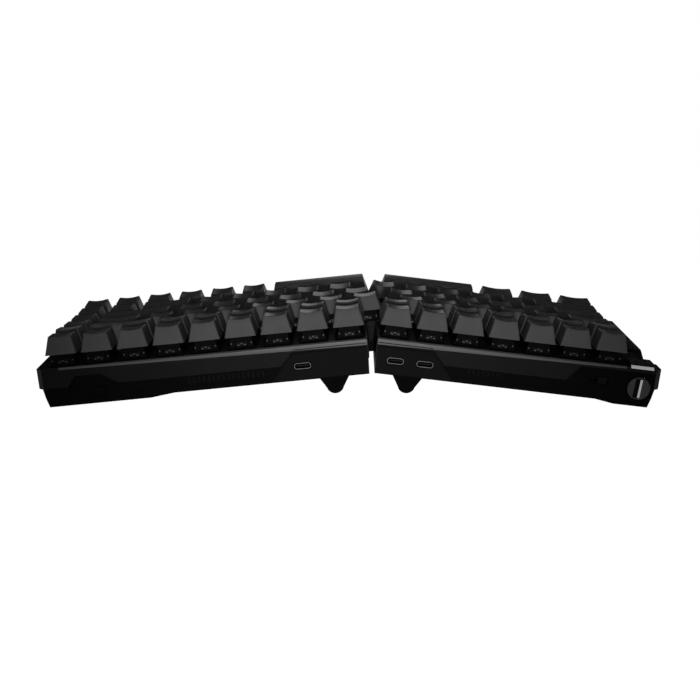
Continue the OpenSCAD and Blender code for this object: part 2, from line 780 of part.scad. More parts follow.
module left_bottom_case() {
    color([0.09, 0.09, 0.1]) left() deck() difference() {
        union() {
            difference() {
                lower_body(-1, under, 0, split_z);
                lower_body(-1, floor_t, floor_t, 10);
                rear_band(-l_band[1], -l_band[0]);
            }
            along_y(riser(0), rear_y - wall - ledge, rear_y);
            bosses(-1);
            socket_posts([l_port_a, l_port_b]);
            foot_wells(-1);
            intersection() {
                union() {
                    box(-left_x, notch_x + 4, notch_a, notch_a + 1.5, -40, split_z);
                    box(-left_x, notch_x + 8, notch_b - 1.5, notch_b, -40, split_z);
                }
                lower_body(-1, lower_mid, 0.5, split_z);
            }
            rear_ribs(-66, 7, -13.8, 2.4);
        }
        foot_pockets(-1, 0, -9);
        pin_holes(-1, pin_r + seat_gap, pocket_half + pocket_wall + 1);
        screw_holes(-1);
        along_y(panel(-1, l_panel_x, seat_gap), rear_y - wall - ledge, rear_y + 1);
        translate([roller_x, 0, roller_z]) rod_y(roller_r + 0.6, notch_b, rear_y + 1);
        translate([roller_x, 0, roller_z]) rod_y(2.5 + slide_gap + 0.1, notch_b - 3, notch_b + 1);
        box(-left_x - 9, notch_x, notch_b, notch_a, -40, 9);
        box(mode_x - mode_w / 2, mode_x + mode_w / 2, rear_y - 5, rear_y + 1,
            mode_z - mode_h / 2, mode_z + mode_h / 2);
    }
}

module left_top_case() {
    rail_a = -left_plate_x - 0.3;
    beam = -left_x + 2;
    color([0.12, 0.12, 0.13]) left() deck() difference() {
        union() {
            slab(-1, 0, left_x, split_z, 0);
            along_y([[-left_x, -3], [-left_x, 0], [-left_x + 2.6, rail_h], [rail_a - 1.2, rail_h],
                [rail_a, 0], [rail_a, -3]], front_y + corner, notch_b);
        }
        slab(-1, wall, left_plate_x + wall, plate_bot, 9);
        slab(-1, wall + ledge, left_plate_x + wall, split_z - 1, plate_bot + 0.5);
        box(beam, rail_a + 3, notch_a + 1.5, rear_y - wall - ledge, split_z - 1, -2);
        box(beam, rail_a + 3, notch_b, notch_a, split_z - 1, -2);
        box(beam, rail_a + 3, -50, notch_b - 1.5, split_z - 1, -2);
        box(beam, rail_a - 1.5, front_y + corner, -52, split_z - 1, -2);
        along_y([[-left_x - 5, -4.5], [-left_x, -4.5], [-left_x + 3.4, rail_h + 1], [-left_x - 5, rail_h + 1]],
            front_y - 5, notch_b + 1);
        box(-left_x - 9, notch_x, notch_b, notch_a, -40, 9);
        translate([roller_x, 0, roller_z]) rod_y(roller_r + 0.6, notch_b, rear_y + 1);
        translate([roller_x, 0, roller_z]) rod_y(2.5 + slide_gap + 0.1, notch_b - 3, notch_b + 1);
        along_y(riser(seat_gap), rear_y - wall - ledge - 1, rear_y + 1);
        along_y(panel(-1, l_panel_x, seat_gap), rear_y - wall - ledge - 1, rear_y + 1);
        along_y(cover(-1, l_panel_x, l_panel_end, panel_line), rear_y - under, rear_y + 1);
        rim_rounding();
        box(button_x - trim_half - seat_gap, button_x + trim_half + seat_gap, 1.6 - seat_gap, rear_y + 1,
            -0.8 - seat_gap, 1);
        box(button_x - 4 - slide_gap, button_x + 4 + slide_gap, -7 - slide_gap, -1 + slide_gap, -5, 5);
    }
}

module left_switch_plate() {
    color([0.16, 0.16, 0.17]) switch_plate(-1, l_keys, left_plate_x + wall);
}

module left_circuit_board() {
    color([0.05, 0.2, 0.12]) circuit_board(-1, left_plate_x + wall);
}

module left_switches() {
    color([0.2, 0.2, 0.21]) left() deck() at_keys(l_keys) switch_body();
}

module left_stabilisers() {
    color([0.2, 0.2, 0.21]) stabilisers(-1, l_keys);
}

module left_port_panel() {
    color([0.08, 0.08, 0.09]) port_panel(-1, l_panel_x, l_panel_end, [l_port_a, l_port_b]);
}

module left_usb_sockets() {
    color([0.75, 0.75, 0.77]) sockets(-1, [l_port_a, l_port_b]);
}

module left_battery() {
    battery(-1, cell_l, cell_w);
}

module left_foot_pads() {
    color([0.05, 0.05, 0.05]) foot_pads(-1, l_pad_x);
}

module left_case_screws() {
    color([0.6, 0.6, 0.62]) case_screws(-1);
}

module left_foot_pins() {
    color([0.6, 0.6, 0.62]) foot_pins(-1);
}

module left_rear_foot() {
    color([0.1, 0.1, 0.11]) left() translate([-foot_x, rear_hinge, hinge_z]) foot();
}

module left_front_foot() {
    color([0.1, 0.1, 0.11]) left() translate([-foot_x, front_hinge, hinge_z]) foot();
}

// Roller with gripping grooves and an inlaid bar across its rear face
module control_roller() {
    face = rear_y - 0.2;
    color([0.45, 0.45, 0.47]) left() deck() translate([roller_x, 0, roller_z]) {
        difference() {
            union() {
                rod_y(roller_r, roller_end, face);
                rod_y(2.5, roller_end - 3.2, roller_end + 1);
            }
            rotate([0, -12, 0]) box(-1.2, 1.2, face - 1, face + 1, -roller_r - 1, roller_r + 1);
            for (i = [0:23]) rotate([0, i * 15, 0])
                box(roller_r - 0.4, roller_r + 1, notch_b + 2, notch_a - 2, -0.35, 0.35);
            rod_y(1.2 + slide_gap, roller_end - 4, roller_end + 3);
        }
        rotate([0, -12, 0]) box(-1.1, 1.1, face - 0.9, face, -roller_r + 0.4, roller_r - 0.4);
    }
}

module roller_encoder() {
    color([0.25, 0.25, 0.27]) left() deck() {
        translate([roller_x, 0, roller_z]) rod_y(1.2, roller_end - 5, roller_end + 2);
        box(roller_x - 5, roller_x + 3.2, roller_end - 12, roller_end - 4, roller_z - 5, roller_z + 5);
        box(roller_x - 5, roller_x + 3.2, roller_end - 12, roller_end - 6,
            floor_z(roller_end - 12) + floor_t - skid_h, roller_z);
    }
}

module corner_button() {
    color([0.2, 0.2, 0.21]) left() deck() {
        box(button_x - 6.4, button_x + 6.4, -9.4, 1.2, button_travel + 0.1, button_travel + 1.6);
        box(button_x - 4, button_x + 4, -7, -1, -2.6, button_travel + 0.2);
        box(button_x - 5, button_x + 5, -7.6, -0.4, -3.2, -2.2);
    }
}

module corner_trim() {
    color([0.8, 0.8, 0.82]) left() deck()
        along_x([[1.6, -0.8], [rear_y - 0.3, -0.8], [rear_y - 0.3, -0.1], [1.6, 0.9]],
            button_x - trim_half, button_x + trim_half);
}

module mode_slider() {
    color([0.3, 0.3, 0.32]) left() deck() {
        box(knob_x - knob_w / 2, knob_x + knob_w / 2, rear_y - 1.4, rear_y - 0.4,
            mode_z - knob_h / 2, mode_z + knob_h / 2);
        box(knob_x - 1, knob_x + 1, rear_y - 5, rear_y - 1.2, mode_z - 1, mode_z + 1);
    }
}

module mode_switch() {
    color([0.05, 0.05, 0.06]) left() deck() difference() {
        box(mode_x - 7.2, mode_x + 7.2, rear_y - 6, rear_y - wall - ledge, mode_z - 3.4, mode_z + 3.4);
        box(mode_x - mode_travel / 2 - 1 - slide_gap, mode_x + mode_travel / 2 + 1 + slide_gap,
            rear_y - 5.4, rear_y, mode_z - 1 - slide_gap, mode_z + 1 + slide_gap);
    }
}

module key_color() {
    color([0.17, 0.17, 0.18]) children();
}

module key_escape() key_color() keys(-1, [l_esc]);
module keys_left_function() key_color() keys(-1, [l_function]);
module keys_left_number() key_color() keys(-1, [l_number]);
module key_tab() key_color() keys(-1, [l_tab]);
module keys_left_upper() key_color() keys(-1, [l_upper]);
module key_caps() key_color() keys(-1, [l_caps]);
module keys_left_home() key_color() keys(-1, [l_home]);
module key_left_shift() key_color() keys(-1, [l_shift]);
module keys_left_lower() key_color() keys(-1, [l_lower]);
module keys_left_modifier() key_color() keys(-1, [l_modifier]);
module key_left_space() key_color() keys(-1, [l_space]);
module keys_right_function() key_color() keys(1, [r_function]);
module keys_right_system() key_color() keys(1, [r_system]);
module keys_right_number() key_color() keys(1, [r_number]);
module key_backspace() key_color() keys(1, [r_backspace]);
module keys_right_upper() key_color() keys(1, [r_upper]);
module key_backslash() key_color() keys(1, [r_backslash]);
module keys_right_home() key_color() keys(1, [r_home]);
module key_enter() key_color() keys(1, [r_enter]);
module keys_right_lower() key_color() keys(1, [r_lower]);
module key_right_shift() key_color() keys(1, [r_shift]);
module key_right_space() key_color() keys(1, [r_space]);
module keys_right_modifier() key_color() keys(1, [r_modifier]);
module keys_arrow() key_color() keys(1, [r_up, r_arrow]);
module keys_navigation() key_color() keys(1, r_nav);

left_bottom_case();
left_top_case();
left_switch_plate();
left_circuit_board();
left_switches();
left_stabilisers();
left_port_panel();
left_usb_sockets();
left_battery();
left_foot_pads();
left_case_screws();
left_foot_pins();
left_rear_foot();
left_front_foot();
control_roller();
roller_encoder();
corner_button();
corner_trim();
mode_slider();
mode_switch();
key_escape();
keys_left_function();
keys_left_number();
key_tab();
keys_left_upper();
key_caps();
keys_left_home();
key_left_shift();
keys_left_lower();
keys_left_modifier();
key_left_space();
right_bottom_case();
right_top_case();
right_switch_plate();
right_circuit_board();
right_switches();
right_stabilisers();
right_port_panel();
right_usb_socket();
right_battery();
right_foot_pads();
right_case_screws();
right_foot_pins();
right_rear_foot();
right_front_foot();
receiver();
keys_right_function();
keys_right_system();
keys_right_number();
key_backspace();
keys_right_upper();
key_backslash();
keys_right_home();
key_enter();
keys_right_lower();
key_right_shift();
key_right_space();
keys_right_modifier();
keys_arrow();
keys_navigation();
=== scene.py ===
# %% [markdown]
# # A split keyboard on a pale table
# The imported solids come in first. They fix every size, so the looks are built around them.

# %% Load the imported keyboard
import json
import math

import bpy
import numpy as np
from mathutils import Matrix, Vector


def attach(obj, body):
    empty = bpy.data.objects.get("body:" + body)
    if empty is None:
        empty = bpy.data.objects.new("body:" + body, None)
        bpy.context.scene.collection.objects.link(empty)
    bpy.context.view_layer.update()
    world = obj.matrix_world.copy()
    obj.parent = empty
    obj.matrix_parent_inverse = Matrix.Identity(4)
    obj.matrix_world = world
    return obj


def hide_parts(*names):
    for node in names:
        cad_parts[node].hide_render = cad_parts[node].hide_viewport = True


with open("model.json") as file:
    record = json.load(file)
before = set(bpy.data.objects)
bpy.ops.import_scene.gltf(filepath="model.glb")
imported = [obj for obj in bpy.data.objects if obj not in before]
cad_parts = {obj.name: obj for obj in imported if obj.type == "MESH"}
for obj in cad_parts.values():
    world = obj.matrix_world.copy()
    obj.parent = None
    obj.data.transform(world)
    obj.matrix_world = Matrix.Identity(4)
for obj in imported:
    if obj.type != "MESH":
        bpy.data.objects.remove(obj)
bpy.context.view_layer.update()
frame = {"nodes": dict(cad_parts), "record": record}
node_of = frame["nodes"]
body_of_node = {n: b for b, names in frame["record"]["behaviour"]["bodies"].items() for n in names}

# %% [markdown]
# ## Where each half lies
# Both halves are designed flat, with the key deck as the plane z = 0, and are then turned by the typing
# angle and by the tent that the feet give. One matrix per half carries any deck point to its place, so
# a new piece can be worked out in plain deck millimetres.

# %% Deck frames of the two halves
MM = 0.001
KEY_UNIT, CAP_BASE, CAP_RISE = 19.05, 16.7, 6.0
REAR_Y, REAR_H, PITCH = 3.8, 19.4, math.radians(3.0)
PLACE = {"right": ((-12.1611, 61.3675, 19.4215), math.radians(5.78259)),
         "left": ((-12.6642, 61.3675, 19.8081), math.radians(-6.93762))}


def deck_matrix(side):
    """Metres from deck millimetres: lower the deck origin to the case bottom, turn by the typing angle
    about x, by the tent about y, and shift to the half's place on the table."""
    shift, tent = PLACE[side]
    to_base = Matrix.Rotation(PITCH, 4, "X") @ Matrix.Translation((0, -REAR_Y, REAR_H))
    return Matrix.Scale(MM, 4) @ Matrix.Translation(shift) @ Matrix.Rotation(tent, 4, "Y") @ to_base


DECK = {side: deck_matrix(side) for side in PLACE}
print("deck origin, right half:", [round(v, 4) for v in DECK["right"].translation])

# %% [markdown]
# ## Camera
# The picture is taken from behind the keyboard, a little above it, with a short telephoto lens. The rows
# of caps converge, and that convergence gave the distance and the lens.

# %% Camera behind the keyboard
IMAGE_PX, FOCAL_PX, SENSOR_MM = 700.0, 1303.4, 36.0
CAMERA_PLACE, CAMERA_DOWN = (-0.00089, 0.71398, 0.21872), math.radians(15.9255)
camera_data = bpy.data.cameras.new("rear_camera")
camera_data.sensor_width = SENSOR_MM
camera_data.lens = SENSOR_MM * FOCAL_PX / IMAGE_PX
camera = bpy.data.objects.new("rear_camera", camera_data)
bpy.context.collection.objects.link(camera)
camera.location = CAMERA_PLACE
look = Vector((0.0, -math.cos(CAMERA_DOWN), -math.sin(CAMERA_DOWN)))
camera.rotation_euler = look.to_track_quat("-Z", "Y").to_euler()
bpy.context.scene.camera = camera
print("lens:", round(camera_data.lens, 2))

# %% [markdown]
# ## Table, light and background
# Black plastic shows what it mirrors. The white background is seen by the eye, by mirrors and through
# glass at a strength of one. Two dark flags in front of the keyboard, which the camera doesn't see, leave a
# gap in the middle: the flat tops there mirror the white, and the outer caps mirror the dark. A low lamp
# behind the camera lights the rear faces and leaves the rows further on in their shade. A weak lamp above
# and two at the sides keep the rest readable.

# %% Stage and lamps
WHITE = (1, 1, 1, 1)
ROOM_LIGHT, SEEN_WHITE = 0.04, 1.0
scene = bpy.context.scene
scene.view_settings.view_transform = "Standard"


def eye_mask(nodes, links, *rays):
    """One where the ray is of any of the named kinds, else zero: the largest of their marks."""
    path = nodes.new("ShaderNodeLightPath")
    mark = path.outputs[rays[0]]
    for ray in rays[1:]:
        larger = nodes.new("ShaderNodeMath")
        larger.operation = "MAXIMUM"
        links.new(mark, larger.inputs[0])
        links.new(path.outputs[ray], larger.inputs[1])
        mark = larger.outputs["Value"]
    return mark


world = bpy.data.worlds.new("dim_room")
scene.world = world
world.use_nodes = True
wn, wl = world.node_tree.nodes, world.node_tree.links
wn.clear()
w_out = wn.new("ShaderNodeOutputWorld")
w_mix = wn.new("ShaderNodeMixShader")
w_light = wn.new("ShaderNodeBackground")
w_seen = wn.new("ShaderNodeBackground")
w_light.inputs["Color"].default_value = WHITE
w_light.inputs["Strength"].default_value = ROOM_LIGHT
w_seen.inputs["Color"].default_value = WHITE
w_seen.inputs["Strength"].default_value = SEEN_WHITE
wl.new(eye_mask(wn, wl, "Is Camera Ray", "Is Glossy Ray", "Is Transmission Ray"), w_mix.inputs["Fac"])
wl.new(w_light.outputs["Background"], w_mix.inputs[1])
wl.new(w_seen.outputs["Background"], w_mix.inputs[2])
wl.new(w_mix.outputs["Shader"], w_out.inputs["Surface"])


def add_spot(name, place, aim, cone_deg, soft, power):
    """A spot lamp at place, turned to aim, whose light fades evenly from the middle of its cone to the
    rim. The soft value is the radius of the lamp in metres."""
    data = bpy.data.lights.new(name, "SPOT")
    data.spot_size = math.radians(cone_deg)
    data.spot_blend = 1.0
    data.shadow_soft_size = soft
    data.energy = power
    lamp = bpy.data.objects.new(name, data)
    bpy.context.collection.objects.link(lamp)
    lamp.location = place
    lamp.rotation_euler = (Vector(aim) - Vector(place)).to_track_quat("-Z", "Y").to_euler()


# Name, place and aim in metres, cone in degrees, lamp radius in metres, power in watts.
LAMPS = [
    ("rear_lamp", (0.0, 1.25, 0.13), (0, 0.06, 0.03), 17.4, 0.05, 45.0),
    ("top_lamp", (0.0, 0.45, 1.00), (0, 0.0, 0.03), 40, 0.16, 3.4),
    ("side_lamp", (-0.8, 0.95, 0.45), (0, 0.03, 0.03), 32, 0.09, 0.5),
    ("side_lamp", (0.8, 0.95, 0.45), (0, 0.03, 0.03), 32, 0.09, 0.5),
]
for lamp_values in LAMPS:
    add_spot(*lamp_values)


def stage_sheet(name, points, tone, glow):
    """A flat sheet of the set: matt, of the given tone, with a glow that the eye, mirrors and glass see."""
    mesh = bpy.data.meshes.new(name)
    mesh.from_pydata(points, [], [[0, 1, 2, 3]])
    sheet = bpy.data.objects.new(name, mesh)
    bpy.context.collection.objects.link(sheet)
    mat = bpy.data.materials.new(name + "_matt")
    mat.use_nodes = True
    nodes, links = mat.node_tree.nodes, mat.node_tree.links
    nodes.clear()
    out = nodes.new("ShaderNodeOutputMaterial")
    mix = nodes.new("ShaderNodeMixShader")
    add = nodes.new("ShaderNodeAddShader")
    light = nodes.new("ShaderNodeEmission")
    matt = nodes.new("ShaderNodeBsdfDiffuse")
    light.inputs["Color"].default_value = WHITE
    light.inputs["Strength"].default_value = glow
    matt.inputs["Color"].default_value = (tone, tone, tone, 1)
    links.new(matt.outputs["BSDF"], add.inputs[0])
    links.new(light.outputs["Emission"], add.inputs[1])
    links.new(eye_mask(nodes, links, "Is Camera Ray", "Is Glossy Ray", "Is Transmission Ray"),
              mix.inputs["Fac"])
    links.new(matt.outputs["BSDF"], mix.inputs[1])
    links.new(add.outputs["Shader"], mix.inputs[2])
    links.new(mix.outputs["Shader"], out.inputs["Surface"])
    mesh.materials.append(mat)
    return sheet


TABLE_HALF, TABLE_Z, TABLE_TONE, TABLE_GLOW = 0.5, -0.0002, 0.86, 0.97
stage_sheet("table", [(-TABLE_HALF, -TABLE_HALF, TABLE_Z), (TABLE_HALF, -TABLE_HALF, TABLE_Z),
                      (TABLE_HALF, TABLE_HALF, TABLE_Z), (-TABLE_HALF, TABLE_HALF, TABLE_Z)],
            TABLE_TONE, TABLE_GLOW)
FLAG_IN, FLAG_OUT, FLAG_Y, FLAG_LOW, FLAG_TOP, FLAG_TONE = 0.13, 2.5, -1.4, -0.8, 2.0, 0.02
for side_sign in (-1, 1):
    inner, outer = FLAG_IN * side_sign, FLAG_OUT * side_sign
    flag = stage_sheet("dark_flag", [(inner, FLAG_Y, FLAG_LOW), (outer, FLAG_Y, FLAG_LOW),
                                     (outer, FLAG_Y, FLAG_TOP), (inner, FLAG_Y, FLAG_TOP)],
                       FLAG_TONE, 0.0)
    flag.visible_camera = False

# %% [markdown]
# ## Finishes
# Moulded black plastic is never one flat black: the mould is spark-eroded, so it has a fine grain, and the
# colour and gloss wander a little. A noise on object coordinates gives the grain as bump, and a slower one
# moves colour and roughness.

# %% Plastic and metal finishes
CLOUD_SCALE, GLOSS_SWING, BUMP_SHARE, STREAK_SWING = 120.0, 0.05, 0.35, 0.06


def moulded_plastic(name, dark, light, rough, shine=0.3, grain_mm=0.35, depth_mm=0.012):
    """Two noises on object coordinates: a fine one lifts the surface by depth, a slow one mixes the
    two colours and moves the roughness by a tenth."""
    mat = bpy.data.materials.new(name)
    mat.use_nodes = True
    nodes, links = mat.node_tree.nodes, mat.node_tree.links
    shader = nodes["Principled BSDF"]
    coords = nodes.new("ShaderNodeTexCoord")
    fine = nodes.new("ShaderNodeTexNoise")
    fine.inputs["Scale"].default_value = 1.0 / (grain_mm * MM)
    fine.inputs["Detail"].default_value = 3.0
    slow = nodes.new("ShaderNodeTexNoise")
    slow.inputs["Scale"].default_value = CLOUD_SCALE
    slow.inputs["Detail"].default_value = 5.0
    tint = nodes.new("ShaderNodeMixRGB")
    tint.inputs["Color1"].default_value = (*dark, 1)
    tint.inputs["Color2"].default_value = (*light, 1)
    gloss = nodes.new("ShaderNodeMapRange")
    gloss.inputs["To Min"].default_value = rough - GLOSS_SWING
    gloss.inputs["To Max"].default_value = rough + GLOSS_SWING
    bump = nodes.new("ShaderNodeBump")
    bump.inputs["Strength"].default_value = BUMP_SHARE
    bump.inputs["Distance"].default_value = depth_mm * MM
    links.new(coords.outputs["Object"], fine.inputs["Vector"])
    links.new(coords.outputs["Object"], slow.inputs["Vector"])
    links.new(slow.outputs["Fac"], tint.inputs["Fac"])
    links.new(slow.outputs["Fac"], gloss.inputs["Value"])
    links.new(fine.outputs["Fac"], bump.inputs["Height"])
    links.new(tint.outputs["Color"], shader.inputs["Base Color"])
    links.new(gloss.outputs["Result"], shader.inputs["Roughness"])
    links.new(bump.outputs["Normal"], shader.inputs["Normal"])
    shader.inputs["Specular IOR Level"].default_value = shine
    return mat


def bright_metal(name, dark, light, rough, streak=(300.0, 300.0, 4000.0)):
    """Metal with a stretched noise, so that the gloss runs in fine streaks along one way."""
    mat = bpy.data.materials.new(name)
    mat.use_nodes = True
    nodes, links = mat.node_tree.nodes, mat.node_tree.links
    shader = nodes["Principled BSDF"]
    coords = nodes.new("ShaderNodeTexCoord")
    turn = nodes.new("ShaderNodeMapping")
    turn.inputs["Scale"].default_value = streak
    streaks = nodes.new("ShaderNodeTexNoise")
    streaks.inputs["Scale"].default_value = 1.0
    streaks.inputs["Detail"].default_value = 4.0
    tint = nodes.new("ShaderNodeMixRGB")
    tint.inputs["Color1"].default_value = (*dark, 1)
    tint.inputs["Color2"].default_value = (*light, 1)
    gloss = nodes.new("ShaderNodeMapRange")
    gloss.inputs["To Min"].default_value = rough - STREAK_SWING
    gloss.inputs["To Max"].default_value = rough + STREAK_SWING
    links.new(coords.outputs["Object"], turn.inputs["Vector"])
    links.new(turn.outputs["Vector"], streaks.inputs["Vector"])
    links.new(streaks.outputs["Fac"], tint.inputs["Fac"])
    links.new(streaks.outputs["Fac"], gloss.inputs["Value"])
    links.new(tint.outputs["Color"], shader.inputs["Base Color"])
    links.new(gloss.outputs["Result"], shader.inputs["Roughness"])
    shader.inputs["Metallic"].default_value = 1.0
    return mat


def grey(level):
    """The same level for red, green and blue."""
    return (level, level, level)


FINISH = {
    "cap": moulded_plastic("cap_plastic_black", grey(0.062), grey(0.076), 0.33, 0.06),
    "case": moulded_plastic("lower_case_black", grey(0.0012), grey(0.0024), 0.42, 0.01),
    "top": moulded_plastic("top_case_black", grey(0.006), grey(0.009), 0.34, 0.02),
    "panel": moulded_plastic("panel_black", grey(0.004), grey(0.006), 0.40, 0.01),
    # This lighter, shinier finish is painted sheen, on a skin over the rounded rear edge.
    "rim": moulded_plastic("rim_painted_sheen_black", grey(0.007), grey(0.012), 0.40, 0.3),
    "plate": moulded_plastic("plate_paint_black", grey(0.002), grey(0.004), 0.40, 0.05),
    "switch": moulded_plastic("switch_shell_black", grey(0.002), grey(0.003), 0.45, 0.01),
    "board": moulded_plastic("solder_resist_dark", (0.006, 0.018, 0.012), (0.008, 0.024, 0.016), 0.35),
    "cell": moulded_plastic("cell_wrap_grey", (0.10, 0.12, 0.14), (0.13, 0.15, 0.17), 0.40),
    "rubber": moulded_plastic("pad_rubber_black", grey(0.006), grey(0.009), 0.75, 0.2),
    "foot": moulded_plastic("foot_plastic_black", grey(0.0012), grey(0.0024), 0.35, 0.01),
    "control": moulded_plastic("control_plastic_grey", grey(0.004), grey(0.007), 0.36, 0.04),
    "lens": moulded_plastic("lens_smoke", grey(0.004), grey(0.007), 0.22, 0.05, 0.8, 0.004),
    # This near-black is painted shade, on skins in the roller slot, the port-cover groove and fine line, and
    # the socket mouths.
    "slot": moulded_plastic("painted_shade_black", grey(0.001), grey(0.002), 0.5, 0.02),
    # This light grey is painted highlight on the switch clips and specks, where the switch plastic is black.
    "clip": moulded_plastic("lid_clip_painted_glint", grey(0.050), grey(0.075), 0.3, 0.1),
    "steel": bright_metal("socket_steel", grey(0.055), grey(0.085), 0.30),
    "alu": bright_metal("roller_aluminium", grey(0.015), grey(0.022), 0.45),
    "trim": bright_metal("trim_aluminium", grey(0.24), grey(0.34), 0.20),
}
print("finishes:", len(FINISH))

# %% [markdown]
# ## Keycaps
# A cap is a hollow cup. Its section is a rounded rectangle that leans in on all four sides, its rim is
# rounded, and its top is a dish. One grid does it all: one parameter runs round the section, the other
# from the middle of the inner roof down the inner wall, over the lower lip, up the outside and across the
# dish to the middle of the top.

# %% Section and cap surface
def section_walk(corner_steps=5, long_steps=10, short_steps=5):
    """Round the unit rectangle once. For each point: where its corner centre or edge point lies, from
    -1 to 1 both ways, and the outward direction there."""
    quarter = np.linspace(0.0, math.pi / 2, corner_steps + 1)
    spots, ways = [], []
    for k, (sx, sy) in enumerate(((1, 1), (-1, 1), (-1, -1), (1, -1))):
        turn = quarter + k * math.pi / 2
        spots.append(np.tile((sx, sy), (turn.size, 1)).astype(float))
        ways.append(np.stack([np.cos(turn), np.sin(turn)], axis=1))
        steps = long_steps if k % 2 == 0 else short_steps
        run = np.linspace(1.0, -1.0, steps + 1)[1:-1]
        flat = np.ones_like(run)
        edge = {0: (run, flat), 1: (-flat, run), 2: (-run, -flat), 3: (flat, -run)}[k]
        spots.append(np.stack(edge, axis=1))
        ways.append(np.tile(((0, 1), (-1, 0), (0, -1), (1, 0))[k], (run.size, 1)).astype(float))
    return np.concatenate(spots), np.concatenate(ways)


ROW_REAR = (9.7, 9.8, 8.3, 7.5, 7.3, 7.6)
ROW_FRONT = (9.1, 8.6, 7.8, 7.6, 7.9, 8.8)
CAP_DRAFT, LEAN_REAR, LEAN_FRONT, DISH, CROWN = 2.3, 2.4, 1.7, 0.8, 0.75
CAP_WALL, WALL_LEAN, ROOF_THICK = 1.4, 0.23, 1.5
TOP_EDGE, EDGE_DRAW = 0.4, 0.8
LONG_BAR = 3


def roof_height(row):
    """Height of the inner roof over the cap's lower lip: the lower edge of the top, less dish and roof."""
    return min(ROW_REAR[row], ROW_FRONT[row]) - DISH - ROOF_THICK


def cap_levels(width, row):
    """Rings of the cap, in millimetres. A ring at share f of the height has half-width base - draft * f,
    rear and front edges drawn in by their leans times f, and the height f times the top surface. The top
    surface is a plane from the front height to the rear height, less a dish that is deepest at x = 0, or
    plus a crown across y on the long bars."""
    hr, hf = ROW_REAR[row], ROW_FRONT[row]
    base_x, base_y = (width * KEY_UNIT - KEY_UNIT + CAP_BASE) / 2, CAP_BASE / 2
    spots, ways = section_walk(5, int(8 * max(1.0, width)) + 2, 8)
    long_bar = width > LONG_BAR

    def ring(f, inset, radius, sink, shrink=1.0):
        half_x = base_x - CAP_DRAFT * f - inset
        rear, front = base_y - LEAN_REAR * f - inset, -base_y + LEAN_FRONT * f + inset
        half_y, mid_y = (rear - front) / 2, (rear + front) / 2
        radius = min(radius, half_x * 0.9, half_y * 0.9)
        x = (spots[:, 0] * (half_x - radius) + ways[:, 0] * radius) * shrink
        y = (spots[:, 1] * (half_y - radius) + ways[:, 1] * radius) * shrink
        across, along = x / half_x, (y / half_y + 1) / 2
        top = hf + along * (hr - hf)
        top += CROWN * (1 - (2 * along - 1) ** 2) if long_bar else -DISH * (1 - across ** 2)
        return np.stack([x, y + mid_y, f * top - sink], axis=1)

    roof = roof_height(row)
    rings = []
    for shrink in (0.35, 0.7, 1.0):
        inner = ring(0.0, CAP_WALL + WALL_LEAN * roof, 0.6, 0.0, shrink)
        inner[:, 2] = roof
        rings.append(inner)
    for f in (0.5, 0.02):
        inner = ring(0.0, CAP_WALL + WALL_LEAN * roof * f, 0.7, 0.0)
        inner[:, 2] = roof * f
        rings.append(inner)
    rings.append(ring(0.0, 0.9, 0.5, 0.0))
    rings.append(ring(0.0, 0.12, 0.8, 0.0))
    rings.append(ring(0.0, 0.0, 0.7, -0.12))
    draw = TOP_EDGE * EDGE_DRAW
    start = 1 - TOP_EDGE / ((hr + hf) / 2)
    for f in np.linspace(0.2, start, 4):
        rings.append(ring(f, 0.0, 0.7 + 0.2 * f, 0.0))
    for turn in np.radians((18, 36, 54, 72, 90)):
        rise = start + (1 - start) * math.sin(turn)
        rings.append(ring(rise, draw * (1 - math.cos(turn)), 0.9, 0.0))
    for shrink in (0.86, 0.7, 0.5, 0.25):
        rings.append(ring(1.0, draw, 0.9, 0.0, shrink))
    first = np.array([[0.0, rings[0][:, 1].mean(), roof]])
    middle = ring(1.0, draw, 0.9, 0.0, 0.001)[:, 2].mean()
    last = np.array([[0.0, rings[-1][:, 1].mean(), middle]])
    return rings, first, last


def closed_surface(rings, first, last):
    """Quads between each ring and the next, and a fan of triangles from each end point."""
    n, m = rings[0].shape[0], len(rings)
    points = np.concatenate(rings + [first, last])
    i = np.arange(n)
    j = (i + 1) % n
    base = (np.arange(m - 1) * n)[:, None]
    quads = np.stack([base + i, base + j, base + n + j, base + n + i], axis=-1).reshape(-1, 4)
    fan_a = np.stack([np.full(n, m * n), j, i], axis=1)
    fan_b = np.stack([np.full(n, m * n + 1), (m - 1) * n + i, (m - 1) * n + j], axis=1)
    return points, quads.tolist() + fan_a.tolist() + fan_b.tolist()


def block(x0, x1, y0, y1, z0, z1):
    """The eight corners and six faces of a straight block."""
    c = np.array([[x, y, z] for z in (z0, z1) for y in (y0, y1) for x in (x0, x1)])
    f = [[0, 2, 3, 1], [4, 5, 7, 6], [0, 1, 5, 4], [2, 6, 7, 3], [0, 4, 6, 2], [1, 3, 7, 5]]
    return c, f


def post(radius, z0, z1, steps=16):
    """A round post: two rings and two end faces."""
    a = np.linspace(0, 2 * math.pi, steps, endpoint=False)
    ring = np.stack([radius * np.cos(a), radius * np.sin(a)], axis=1)
    c = np.concatenate([np.c_[ring, np.full(steps, z0)], np.c_[ring, np.full(steps, z1)]])
    i = np.arange(steps)
    j = (i + 1) % steps
    sides = np.stack([i, j, j + steps, i + steps], axis=1).tolist()
    return c, sides + [i[::-1].tolist(), (i + steps).tolist()]


def join_parts(parts):
    """One list of points and faces from several, each face's numbers moved up past the points before."""
    points, faces, start = [], [], 0
    for p, f in parts:
        points.append(p)
        faces += [[v + start for v in face] for face in f]
        start += len(p)
    return np.concatenate(points), faces


